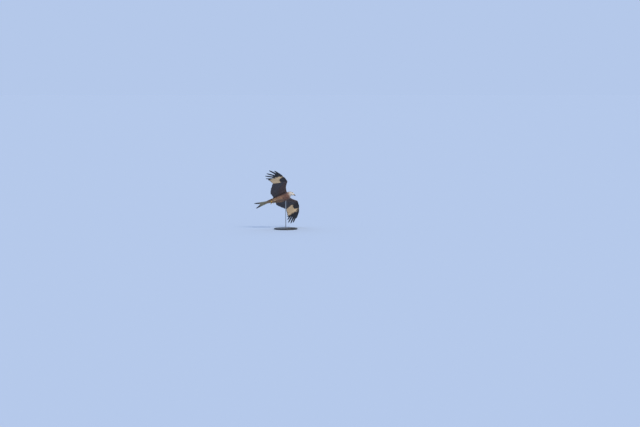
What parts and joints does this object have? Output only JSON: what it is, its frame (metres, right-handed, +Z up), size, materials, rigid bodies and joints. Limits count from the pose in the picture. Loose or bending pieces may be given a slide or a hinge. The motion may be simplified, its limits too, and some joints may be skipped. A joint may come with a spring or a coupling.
{
  "type": "life-size red kite in flight",
  "caption": "Life-size red kite gliding with spread, fingered wings and a forked tail, banked on a round display base with one upright rod.",
  "frame": {"origin": "centre of the underside of the stand's round base", "axes": "+Z up, -Z out of the base's underside, +X roughly the way the bird flies, +Y the side its lowered left wing points to"},
  "size_m": [0.6277, 0.9642, 0.855],
  "materials": {
    "body_plumage": "soft rufous-brown body feathers with dark shaft streaks",
    "head_plumage": "pale grey-white feathers with fine dark streaks",
    "flight_feathers": "wing feathers, blackish tips, pale bases to the primaries, brown coverts with rufous edges",
    "tail_feathers": "rufous tail feathers, greyer below with dark corners",
    "bill_horn": "dark horn with a soft sheen",
    "cere_skin": "yellow bare skin at the base of the bill",
    "eye": "wet glossy eye, pale yellow iris and black pupil",
    "foot_skin": "yellow scaly skin",
    "claw_horn": "black horn",
    "stand_base": "satin black paint",
    "stand_rod": "brushed steel"
  },
  "bodies": {
    "root": {"torso": "body_plumage", "neck": "head_plumage", "head": "head_plumage", "cere": "cere_skin", "bill_upper": "bill_horn", "bill_lower": "bill_horn", "eye_left": "eye", "eye_right": "eye", "tail": "tail_feathers", "wing_left_arm": "flight_feathers", "wing_left_hand": "flight_feathers", "wing_right_arm": "flight_feathers", "wing_right_hand": "flight_feathers", "leg_left": "body_plumage", "leg_right": "body_plumage", "foot_left": "foot_skin", "foot_right": "foot_skin", "claw_left_inner": "claw_horn", "claw_left_middle": "claw_horn", "claw_left_outer": "claw_horn", "claw_left_hind": "claw_horn", "claw_right_inner": "claw_horn", "claw_right_middle": "claw_horn", "claw_right_outer": "claw_horn", "claw_right_hind": "claw_horn", "stand_base": "stand_base", "stand_rod": "stand_rod"}
  },
  "joints": []
}
